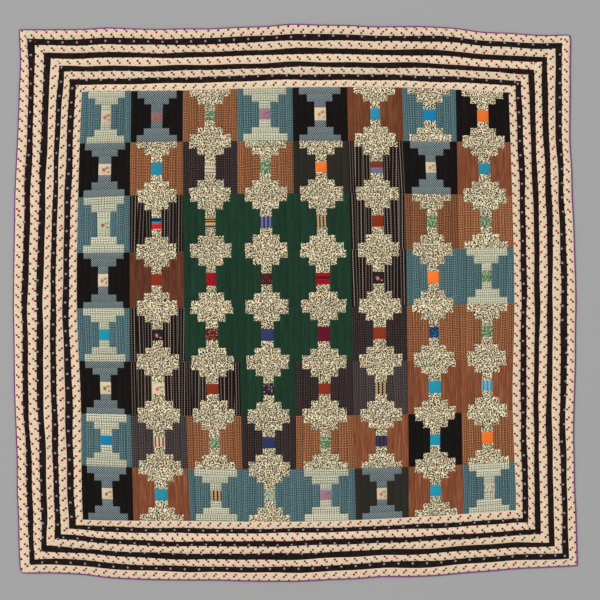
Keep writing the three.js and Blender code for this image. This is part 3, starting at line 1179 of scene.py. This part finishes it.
def real_share(row, column):
    """How wide and how high a block came out, as shares of the even size."""
    side = BLOCK * HALF_LOG
    middle_u = (column + 0.5) * BLOCK * HALF_LOG - FIELD_HALF
    middle_v = FIELD_HALF - (row + 0.5) * BLOCK * HALF_LOG
    ends = np.array([-side / 2, side / 2])
    wide = place(middle_u + ends, np.full(2, middle_v))[0]
    high = place(np.full(2, middle_u), middle_v + ends)[1]
    return (wide[1] - wide[0]) / (side * MM), (high[1] - high[0]) / (side * MM)


def fill_block(layout, first, row, column, chance):
    """Adds the cells of one block, whose points are already there."""
    wide, high = real_share(row, column)
    kind, *dyes = SCRAPS[CENTRES[row].split()[column]]
    cloth_of = {
        "centre": f"{kind} scrap",
        "level": LIGHT[LEVEL_LOGS[row][column]],
        "side": DARK[SIDE_LOGS[row][column]],
    }
    turns = chance.normal(0, GRAIN_ERROR, len(PATCHES))
    cuts = chance.uniform(0, CUT_REACH, (len(PATCHES), 2))
    fades = chance.uniform(-FADE_REACH, FADE_REACH, len(PATCHES))
    for number, (_, job) in enumerate(PATCHES):
        if job == "side":
            fades[number] += SIDE_SHADES.get((row, column), 0)
    map_row, map_column = divmod(column, MAP_CELLS)
    for a, b in np.ndindex(BLOCK, BLOCK):
        number = NUMBERS[a, b]
        (left, low, right, top), job = PATCHES[number]
        middle = (left + right) / 2, (low + top) / 2
        turn = turns[number]
        start = first + b * ROW_COLUMNS + column * BLOCK + a
        above = start + ROW_COLUMNS
        layout.cells.append((start, start + 1, above + 1, above))
        layout.cloth.append(CLOTH_ORDER.index(cloth_of[job]))
        layout.cut.append((*cuts[number], 0))
        layout.fade.append(fades[number])
        for colours, dye in zip(layout.inks.values(), dyes):
            colours.append(ink(dye))
        for da, db in CELL_CORNERS:
            x = (a + da - middle[0]) * HALF_LOG * MM * wide
            y = (b + db - middle[1]) * HALF_LOG * MM * high
            along_x, along_y = (y, -x) if job == "level" else (x, y)
            layout.maps["cloth"].append((
                along_x * math.cos(turn) - along_y * math.sin(turn),
                along_x * math.sin(turn) + along_y * math.cos(turn),
            ))
            layout.maps["OFBake"].append((
                (map_column + MAP_MARGIN + (1 - 2 * MAP_MARGIN) * (a + da) / BLOCK) / MAP_CELLS,
                (map_row + MAP_MARGIN + (1 - 2 * MAP_MARGIN) * (b + db) / BLOCK) / MAP_CELLS,
            ))


def lay_out_row(row):
    """One row of blocks. The top row is number 0."""
    layout = Layout()
    chance = np.random.RandomState(ROW_SEED + row)
    across, up = np.meshgrid(np.arange(ROW_COLUMNS), np.arange(BLOCK + 1))
    sideways, upwards = np.zeros(across.shape), np.zeros(across.shape)
    for column in range(BLOCKS):
        inside = slice(column * BLOCK, (column + 1) * BLOCK + 1)
        shifts = wandering_seams(chance)
        sideways[:, inside] += shifts[0]
        upwards[:, inside] += shifts[1]
    across, up = across.ravel(), up.ravel()
    u = across * HALF_LOG - FIELD_HALF + sideways.ravel()
    v = FIELD_HALF + (up - (row + 1) * BLOCK) * HALF_LOG + upwards.ravel()
    lay = np.stack([across / (ROW_COLUMNS - 1), up / BLOCK, np.zeros(len(up))], axis=1)
    first = layout.add_points(u, v, FULL[across % BLOCK, up], lay)
    for column in range(BLOCKS):
        fill_block(layout, first, row, column, chance)
    return layout.mesh(f"row_{row + 1}")


print("squares in a row of blocks:", BLOCKS * BLOCK**2)

# %% [markdown]
# Puffing the patches
#
# Cloth is held down at its seams, and the filling lifts it between them. A subdivision surface
# would blur the seams, and a simulation of 832 small pillows would be slow. The height follows a
# simple rule instead, so Geometry Nodes make it: cut the grid finer, raise each point by how far
# it lies inside its patch, make some places fuller than others, and add the small puckers that a
# seam gathers. The seams themselves stay sharp.

# %% The puffing tree
PUFF_ROUNDNESS = 2.4
FULLER_SCALE = 9.0
PUCKER_SCALE = 85.0


def open_tree(name, sizes, counts=()):
    """A new tree that takes a mesh and some sizes: its bench, and a wire from each input."""
    tree = bpy.data.node_groups.new(name, "GeometryNodeTree")
    face = tree.interface
    face.new_socket(name="Geometry", in_out="INPUT", socket_type="NodeSocketGeometry")
    for count in counts:
        face.new_socket(name=count, in_out="INPUT", socket_type="NodeSocketInt")
    for size in sizes:
        face.new_socket(name=size, in_out="INPUT", socket_type="NodeSocketFloat")
    face.new_socket(name="Geometry", in_out="OUTPUT", socket_type="NodeSocketGeometry")
    bench = Bench(tree)
    given = tree.nodes.new("NodeGroupInput")
    wires = {name: Wire(bench, given.outputs[name]) for name in ("Geometry", *counts, *sizes)}
    return bench, wires


def close_tree(bench, result):
    """Ends a tree with the mesh that it made."""
    end = bench.tree.nodes.new("NodeGroupOutput")
    bench.tree.links.new(result.socket, end.inputs[0])
    return bench.tree


def puffing_tree():
    """Cuts a coarse sheet finer, puffs it up between its seams and dresses it in its cloths."""
    sizes = ("Seam", "Crown", "Unevenness", "Pucker")
    bench, given = open_tree("puffed patches", sizes, ["Cuts"])
    cuts = {"Mesh": given["Geometry"], "Level": given["Cuts"]}
    fine = bench.node("GeometryNodeSubdivideMesh", None, cuts)
    named = "GeometryNodeInputNamedAttribute"
    inside = bench.node(named, {"data_type": "FLOAT"}, {"Name": "full"})
    at = bench.node("GeometryNodeInputPosition")
    x, y = bench.parts(at)
    puff = 1 - (1 - inside) ** PUFF_ROUNDNESS
    fuller = (bench.noise(at, FULLER_SCALE) - 0.5) * given["Unevenness"]
    puckers = (bench.noise(at, PUCKER_SCALE) - 0.5) * given["Pucker"]
    lift = (given["Crown"] - given["Seam"] + fuller + puckers) * puff
    raised = bench.vector(x, y, given["Seam"] + lift)
    moved = bench.node("GeometryNodeSetPosition", None, {"Geometry": fine, "Position": raised})
    on_seam = {"Geometry": moved, "Name": "sharp_edge", "Value": inside < 0.001}
    settings = {"data_type": "BOOLEAN", "domain": "EDGE"}
    creased = bench.node("GeometryNodeStoreNamedAttribute", settings, on_seam)
    sewn = bench.node("GeometryNodeRealizeInstances", None, {"Geometry": creased})
    number = bench.node(named, {"data_type": "INT"}, {"Name": "cloth_number"})
    number = Wire(bench, next(out for out in number.socket.node.outputs if out.enabled))
    settings = {"data_type": "INT", "operation": "EQUAL"}
    for order, name in enumerate(CLOTH_ORDER):
        same = bench.node("FunctionNodeCompare", settings, {2: number, 3: order})
        dressed = {"Geometry": sewn, "Selection": same, "Material": CLOTHS[name]}
        sewn = bench.node("GeometryNodeSetMaterial", None, dressed)
    return close_tree(bench, sewn)


def grow(mesh, tree, values):
    """The mesh that the tree makes of a coarse one, with the sizes given by name."""
    carrier = bpy.data.objects.new(mesh.name, mesh)
    scene.collection.objects.link(carrier)
    modifier = carrier.modifiers.new("grow", "NODES")
    modifier.node_group = tree
    for item in tree.interface.items_tree:
        if item.in_out == "INPUT" and item.name in values:
            modifier[item.identifier] = values[item.name]
    graph = bpy.context.evaluated_depsgraph_get()
    grown = bpy.data.meshes.new_from_object(
        carrier.evaluated_get(graph), preserve_all_data_layers=True, depsgraph=graph
    )
    bpy.data.objects.remove(carrier)
    return grown


PUFFED = puffing_tree()
print("nodes in the puffing tree:", len(PUFFED.nodes))

# %% [markdown]
# The back of each piece
#
# A quilt has a back, and its cut pieces have edges that are hidden in the seams. Each puffed
# sheet is closed underneath, so that it is a solid piece of quilt: its rim is drawn straight down
# and the flat back is one face. The rim and the back take their places on the bake map in a part
# that the face of the quilt leaves free.

# %% Close a sheet underneath
RIM_SHRINK = {"along": 0.985, "across": 0.7}


def back_place(lay, lower, regions):
    """Where a point of the rim or the back lies on the bake map."""
    left, low, width, height = regions[int(round(lay.z))]
    along, across = (RIM_SHRINK["along"], RIM_SHRINK["across"]) if lower else (1, 1)
    return (
        left + width * (0.5 + (lay.x - 0.5) * along),
        low + height * (0.5 + (lay.y - 0.5) * across),
    )


def close_underneath(mesh, regions):
    """Gives a puffed sheet its rim and its flat back."""
    mesh.materials.append(CLOTHS["unbleached cotton"])
    backing = len(mesh.materials) - 1
    form = bmesh.new()
    form.from_mesh(mesh)
    rim = [edge for edge in form.edges if edge.is_boundary]
    drawn = bmesh.ops.extrude_edge_only(form, edges=rim)["geom"]
    lower = {part for part in drawn if isinstance(part, bmesh.types.BMVert)}
    for point in lower:
        point.co.z = BACK_HEIGHT * MM
    walls = [part for part in drawn if isinstance(part, bmesh.types.BMFace)]
    hem = [part for part in drawn if isinstance(part, bmesh.types.BMEdge) and part.is_boundary]
    backs = bmesh.ops.edgeloop_fill(form, edges=hem)["faces"]
    lay = form.verts.layers.float_vector["lay"]
    bake_map = form.loops.layers.uv["OFBake"]
    for piece in walls + backs:
        piece.material_index = backing
        piece.smooth = False
        for corner in piece.loops:
            under = corner.vert in lower
            corner[bake_map].uv = back_place(corner.vert[lay], under, regions)
    bmesh.ops.recalc_face_normals(form, faces=form.faces)
    form.to_mesh(mesh)
    form.free()
    return mesh


print("sheets can be closed underneath")

# %% [markdown]
# The patchwork
#
# Eight rows of blocks make the patchwork. Each row is one piece, which rides on the quilt's only
# body and stands for the patchwork's solid together with the others.

# %% Sew the rows
BLOCK_SIZE = BLOCK * HALF_LOG * MM
CUTS = 2
PATCH_PUFF = {"Crown": PATCH_CROWN * MM, "Unevenness": 2.2 * MM, "Pucker": 1.1 * MM}
BACK_GAP = 0.005
BACK_START, BACK_SIDE = (MAP_CELLS - 1) / MAP_CELLS + BACK_GAP, 1 / MAP_CELLS - 2 * BACK_GAP
BACK_CELL = (BACK_START, BACK_START, BACK_SIDE, BACK_SIDE)


def puff_up(mesh, sizes):
    """The mesh puffed up between its seams."""
    return grow(mesh, PUFFED, {"Cuts": CUTS, "Seam": SEAM_HEIGHT * MM, **sizes})


def add_piece(name, mesh, nodes):
    """A finished piece at the origin, riding on the quilt."""
    for layer in ("full", "lay", "cloth_number"):
        if layer in mesh.attributes:
            mesh.attributes.remove(mesh.attributes[layer])
    mesh.name = name
    piece = bpy.data.objects.new(name, mesh)
    scene.collection.objects.link(piece)
    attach(piece, "root")
    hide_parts(*nodes)
    return piece


def sew_row(row):
    """One row of blocks, sewn and closed."""
    sheet = close_underneath(puff_up(lay_out_row(row), PATCH_PUFF), [BACK_CELL])
    piece = add_piece(f"patchwork_row_{row + 1}", sheet, ["patchwork"])
    BLOCKS * BLOCK_SIZE
    return piece


rows = [sew_row(row) for row in range(BLOCKS)]
print("faces in a row:", len(rows[0].data.polygons), "cloths:", len(rows[0].data.materials))

# %% [markdown]
# The border strips
#
# Each round is four strips. Those at the top and bottom were sewn on first, and those at the
# sides run past their ends. A strip is a long ladder of cells with a puffed middle. Many strips
# are pieced from two or more lengths, and each length shows its own slice of the print. The table
# gives them from the left or the top: the share of the side where a length ends, how far
# outside the middle of the strip its row of dots lies at both ends, and which way the pairs lean.

# %% The slices of print
SLICES = {
    "cream_5": {
        "top": [(1, 1, -1, "/")],
        "bottom": [(1, -2, -2, "/")],
        "left": [(1, 8, 8, "/")],
        "right": [(1, -6, -4, "\\")],
    },
    "black_4": {
        "top": [(1, 7, 4, "/")],
        "bottom": [(1, -1, -3, "/")],
        "left": [(1, 1, 2, "/")],
        "right": [(1, -2, -2, "/")],
    },
    "cream_4": {
        "top": [(0.67, 3, 1, "\\"), (1, 3, 0, "\\")],
        "bottom": [(1, 8, 7, "\\")],
        "left": [(0.33, 3, 0, "/"), (1, -3, -2, "/")],
        "right": [(1, -6, -10, "\\")],
    },
    "black_3": {
        "top": [(1, -10, -10, "/")],
        "bottom": [(1, 2, 7, "/")],
        "left": [(1, 0, 0, "/")],
        "right": [(1, 16, 16, "/")],
    },
    "cream_3": {
        "top": [(0.67, -1, -1, "\\"), (1, -3, -7, "\\")],
        "bottom": [(0.67, 3, 7, "/"), (1, 4, 0, "/")],
        "left": [(1, 1, 1, "/")],
        "right": [(1, 9, 6, "/")],
    },
    "black_2": {
        "top": [(1, 16, 16, "/")],
        "bottom": [(0.55, -9, -9, "/"), (1, 16, 16, "/")],
        "left": [(1, 9, 6, "/")],
        "right": [(1, 16, 16, "/")],
    },
    "cream_2": {
        "top": [(0.22, -1, 1, "\\"), (0.41, 8, 8, "\\"), (0.67, 0, 0, "\\"), (1, -4, -6, "/")],
        "bottom": [(0.48, -8, -8, "\\"), (0.7, -3, -4, "\\"), (1, -8, -8, "\\")],
        "left": [(0.33, -11, -8, "\\"), (1, -6, -9, "\\")],
        "right": [(0.27, 1, 1, "/"), (0.4, 3, 3, "\\"), (1, -2, -4, "\\")],
    },
    "black_1": {
        "top": [(0.51, 0, 1, "/"), (1, 5, 5, "/")],
        "bottom": [(0.33, 2, 0, "/"), (1, -3, -4, "/")],
        "left": [(0.23, 2, 2, "/"), (1, 9, 8, "/")],
        "right": [(0.35, 4, 4, "/"), (0.55, -5, -5, "/"), (0.74, 8, 6, "/"), (1, -4, -3, "/")],
    },
    "cream_1": {
        "top": [(0.33, -7, -9, "\\"), (0.67, -6, -4, "/"), (1, -9, -3, "\\")],
        "bottom": [(1, -2, -2, "/")],
        "left": [(0.33, 9, 5, "\\"), (0.68, 1, 4, "\\"), (1, 5, 15, "\\")],
        "right": [(0.68, 0, 4, "\\"), (1, -5, -4, "/")],
    },
}
lengths = [len(slices) for sides in SLICES.values() for slices in sides.values()]
print("lengths of cloth:", sum(lengths))

# %% Lay out a round of strips
STRIP_CELL = 19.05
STRIP_LINES = 18
STRIP_MAP_HEIGHT = 0.86
LINE_GAP = 0.1
BACK_BAND = {"low": 0.87, "pitch": 0.032, "height": 0.03}
LEVEL_SIDES = ("top", "bottom")
OUTWARDS = {"top": 1, "bottom": -1, "left": -1, "right": 1}
LEANS = {"/": 1, "\\": -1}


def strip_region(side, inner, outer):
    """(start, end) along the strip and (inside, outside) across it."""
    reach = inner if side in LEVEL_SIDES else outer
    return (-reach, reach), (OUTWARDS[side] * inner, OUTWARDS[side] * outer)


def even_point(side, along, across):
    """A place along and across a side, as a point of the even quilt."""
    return (along, across) if side in LEVEL_SIDES else (across, along)


def real_run(side, along, middle):
    """The real length along the middle of a strip, counted from its centre, in metres."""
    u, v = even_point(side, along, np.full(len(along), middle))
    steps = np.hypot(*(np.diff(places) for places in place(u, v)))
    run = np.concatenate([[0], np.cumsum(steps)])
    return run - np.interp(0, along, run)


def line_place(number, step, share, a_line):
    """Where a cell lies on a bake map that a long strip fills line by line."""
    line, passed = divmod(number, a_line)
    return (passed + step) / a_line, line + LINE_GAP / 2 + (1 - LINE_GAP) * share


def lay_out_strip(layout, order, side, region, slices, cloth, chance, on_map):
    """Adds one strip. on_map says where on the bake map each cell's top goes."""
    (start, end), across = region
    cells = round((end - start) / STRIP_CELL)
    along = np.linspace(start, end, cells + 1)
    lines = np.array([min(across), sum(across) / 2, max(across)])
    steps, rungs = np.meshgrid(np.arange(cells + 1), np.arange(len(lines)))
    steps, rungs = steps.ravel(), rungs.ravel()
    u, v = even_point(side, along[steps], lines[rungs])
    run = real_run(side, along, lines[1])
    full = ((rungs == 1) & (steps > 0) & (steps < cells)).astype(float)
    lay = np.stack([steps / cells, rungs / 2, np.full(len(steps), order)], axis=1)
    first = layout.add_points(u, v, full, lay)
    level = side in LEVEL_SIDES
    ends = [0, *(length[0] for length in slices)]
    cuts = chance.uniform(0, CUT_REACH, len(slices))
    fade = chance.uniform(-FADE_REACH, FADE_REACH) / 2

    def side_share(step):
        """How far along its side a step is, from the left or the top."""
        return step / cells if level else 1 - step / cells

    for rung, step in np.ndindex(len(lines) - 1, cells):
        corner = first + rung * (cells + 1) + step
        quad = (corner, corner + 1, corner + cells + 2, corner + cells + 1)
        pairs = CELL_CORNERS
        if not level:
            quad, pairs = quad[::-1], pairs[::-1]
        length = min(int(np.searchsorted(ends, side_share(step + 0.5))) - 1, len(slices) - 1)
        _, at_start, at_end, lean = slices[length]
        layout.cells.append(quad)
        layout.cloth.append(CLOTH_ORDER.index(cloth))
        layout.cut.append((0, cuts[length], 0))
        layout.fade.append(fade)
        for ds, dr in pairs:
            shift = np.interp(side_share(step + ds), ends[length:length + 2], (at_start, at_end))
            from_middle = OUTWARDS[side] * (lines[rung + dr] - lines[1]) - shift
            mirrored = OUTWARDS[side] * LEANS[lean] * from_middle
            layout.maps["cloth"].append((mirrored * MM, run[step + ds]))
            layout.maps["OFBake"].append(on_map(step, ds, (rung + dr) / 2))


def lay_out_round(strip, inner):
    """Four strips, one after the other on the lines of the bake map."""
    layout = Layout()
    chance = np.random.RandomState(int(inner))
    regions = {side: strip_region(side, inner, inner + strip["width"]) for side in SIDES}
    counts = {side: round((run[1] - run[0]) / STRIP_CELL) for side, (run, _) in regions.items()}
    a_line = math.ceil(sum(counts.values()) / STRIP_LINES)
    before = 0
    for order, side in enumerate(SIDES):

        def on_map(step, ds, share, passed=before):
            x, y = line_place(passed + step, ds, share, a_line)
            return x, y * STRIP_MAP_HEIGHT / STRIP_LINES

        slices = SLICES[strip["name"]][side]
        cloth = f"{strip['cloth']} print"
        lay_out_strip(layout, order, side, regions[side], slices, cloth, chance, on_map)
        before += counts[side]
    return layout.mesh(strip["name"])


print("lines of a round on its map:", STRIP_LINES)

# %% Sew the rounds
STRIP_PUFF = {"Crown": STRIP_CROWN * MM, "Unevenness": 1.8 * MM, "Pucker": 1.3 * MM}
BACK_BANDS = [
    (0.0, BACK_BAND["low"] + BACK_BAND["pitch"] * order, 1.0, BACK_BAND["height"])
    for order in range(len(SIDES))
]


def sew_round(strip, inner):
    """One round of four strips, with the flat size of its cloth."""
    sheet = close_underneath(puff_up(lay_out_round(strip, inner), STRIP_PUFF), BACK_BANDS)
    nodes = [f"{strip['name']}_{side}" for side in SIDES]
    piece = add_piece(f"border_{strip['name']}", sheet, nodes)
    run = 2 * inner + strip["width"]
    return piece, (len(SIDES) * run * MM, strip["width"] * MM)


rounds = []
reach = FIELD_HALF
for strip in STRIPS:
    rounds.append(sew_round(strip, reach))
    reach += strip["width"]
for piece, flat in rounds[:-1]:
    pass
print("rounds:", len(rounds), "faces in the last:", len(rounds[-1][0].data.polygons))

# %% [markdown]
# The binding
#
# The binding is a narrow strip of purple cotton, folded over the raw edge from the front to the
# back. Its section never changes, so it is swept around the edge of the quilt: each point of the
# section keeps its distance from the edge, and the corners come out mitred. On the back it was
# hemmed by hand, with small slanted stitches.

# %% Sweep the binding
# How far out from the binding's inner edge and how high, in millimetres.
SECTION = [
    (0.0, 3.0), (0.5, 3.8), (1.3, 4.3), (2.3, 4.4), (3.3, 4.1), (4.05, 3.4), (4.45, 2.5),
    (4.45, 1.6), (4.1, 0.8), (3.4, 0.3), (2.4, 0.05), (1.2, 0.0), (0.3, 0.05), (0.0, 0.35),
]
STATION = 6.0
BINDING_LINES = 40


def edge_stations():
    """Places around the square edge, as fractions of its half side."""
    count = round(2 * OUTER_HALF / STATION)
    run = np.linspace(-1, 1, count + 1)[:-1]
    one = np.ones(count)
    u = np.concatenate([run, one, -run, -one])
    v = np.concatenate([-one, run, one, -run])
    return u, v


def sweep_binding():
    """A closed ring of the section, with its maps."""
    u, v = edge_stations()
    stations, corners = len(u), len(SECTION)
    reach = np.array([BINDING_INNER + out for out, _ in SECTION])
    x, y = place(np.outer(u, reach).ravel(), np.outer(v, reach).ravel())
    z = np.tile([high * MM for _, high in SECTION], stations)
    a_line = math.ceil(stations / BINDING_LINES)
    faces = []
    maps = {"cloth": [], "OFBake": []}
    for station, k in np.ndindex(stations, corners):
        here, after = station * corners, (station + 1) % stations * corners
        near = (k + 1) % corners
        faces.append((here + k, after + k, after + near, here + near))
        for ds, dk in CELL_CORNERS:
            maps["cloth"].append(((k + dk) * MM, (station + ds) * STATION * MM))
            on_line, line = line_place(station, ds, (k + dk) / corners, a_line)
            maps["OFBake"].append((on_line, line / BINDING_LINES))
    mesh = bpy.data.meshes.new("binding")
    mesh.from_pydata(np.stack([x, y, z], axis=1), [], faces)
    add_maps(mesh, maps)
    mesh.materials.append(CLOTHS["purple cotton"])
    mesh.shade_smooth()
    return mesh


nodes = [f"binding_{side}" for side in SIDES]
binding = add_piece("binding", sweep_binding(), nodes)
print("binding faces:", len(binding.data.polygons))

# %% Hem stitches on the back
STITCH = {"Spacing": 6.5 * MM, "Length": 2.4 * MM, "Thickness": 0.34 * MM, "Slant": 1.05}
STITCH_SIDES = 6
HEM_HEIGHT = 0.2


def stitching_tree():
    """Small slanted threads, evenly spaced along a path of edges."""
    bench, given = open_tree("hem stitches", tuple(STITCH))
    path = bench.node("GeometryNodeMeshToCurve", None, {"Mesh": given["Geometry"]})
    spacing = {"Curve": path, "Length": given["Spacing"]}
    even = bench.node("GeometryNodeResampleCurve", {"mode": "LENGTH"}, spacing)
    sizes = {"Vertices": STITCH_SIDES, "Radius": given["Thickness"] / 2, "Depth": given["Length"]}
    thread = bench.node("GeometryNodeMeshCylinder", None, sizes)
    tangent = bench.node("GeometryNodeInputTangent")
    slanted = {"Vector": tangent, "Rotation": bench.vector(0.0, 0.0, given["Slant"])}
    leaning = bench.node("FunctionNodeRotateVector", None, slanted)
    turned = bench.node("FunctionNodeAlignRotationToVector", {"axis": "Z"}, {"Vector": leaning})
    placed = {"Points": even, "Instance": thread, "Rotation": turned}
    stitches = bench.node("GeometryNodeInstanceOnPoints", None, placed)
    real = bench.node("GeometryNodeRealizeInstances", None, {"Geometry": stitches})
    dyed = {"Geometry": real, "Material": CLOTHS["purple cotton"]}
    return close_tree(bench, bench.node("GeometryNodeSetMaterial", None, dyed))


def hem_path():
    """The line along the binding's inner edge on the back."""
    u, v = edge_stations()
    x, y = place(u * BINDING_INNER, v * BINDING_INNER)
    points = np.stack([x, y, np.full(len(x), HEM_HEIGHT * MM)], axis=1)
    mesh = bpy.data.meshes.new("hem path")
    count = len(points)
    mesh.from_pydata(points, [(k, (k + 1) % count) for k in range(count)], [])
    return mesh


hem = grow(hem_path(), stitching_tree(), STITCH)
hem_stitches = bpy.data.objects.new("binding_stitches", hem)
scene.collection.objects.link(hem_stitches)
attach(hem_stitches, "root")
last_round, flat = rounds[-1]
print("stitches:", len(hem.polygons) // (STITCH_SIDES + 2))

# %% [markdown]
# Measure and finish
#
# The fine quilt has to fill the same box as the solids. Both boxes are gathered side by side, and
# the new one is printed.

# %% Measure and finish
triangles = sum(len(p.vertices) - 2 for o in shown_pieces() if o.type == "MESH" for p in o.data.polygons)
print("triangles of the pieces and the solids:", triangles)
boxes = {"cad": [list(corner) for corner in cad_box], "visual": [list(corner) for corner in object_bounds()]}
print("box:", boxes["visual"])
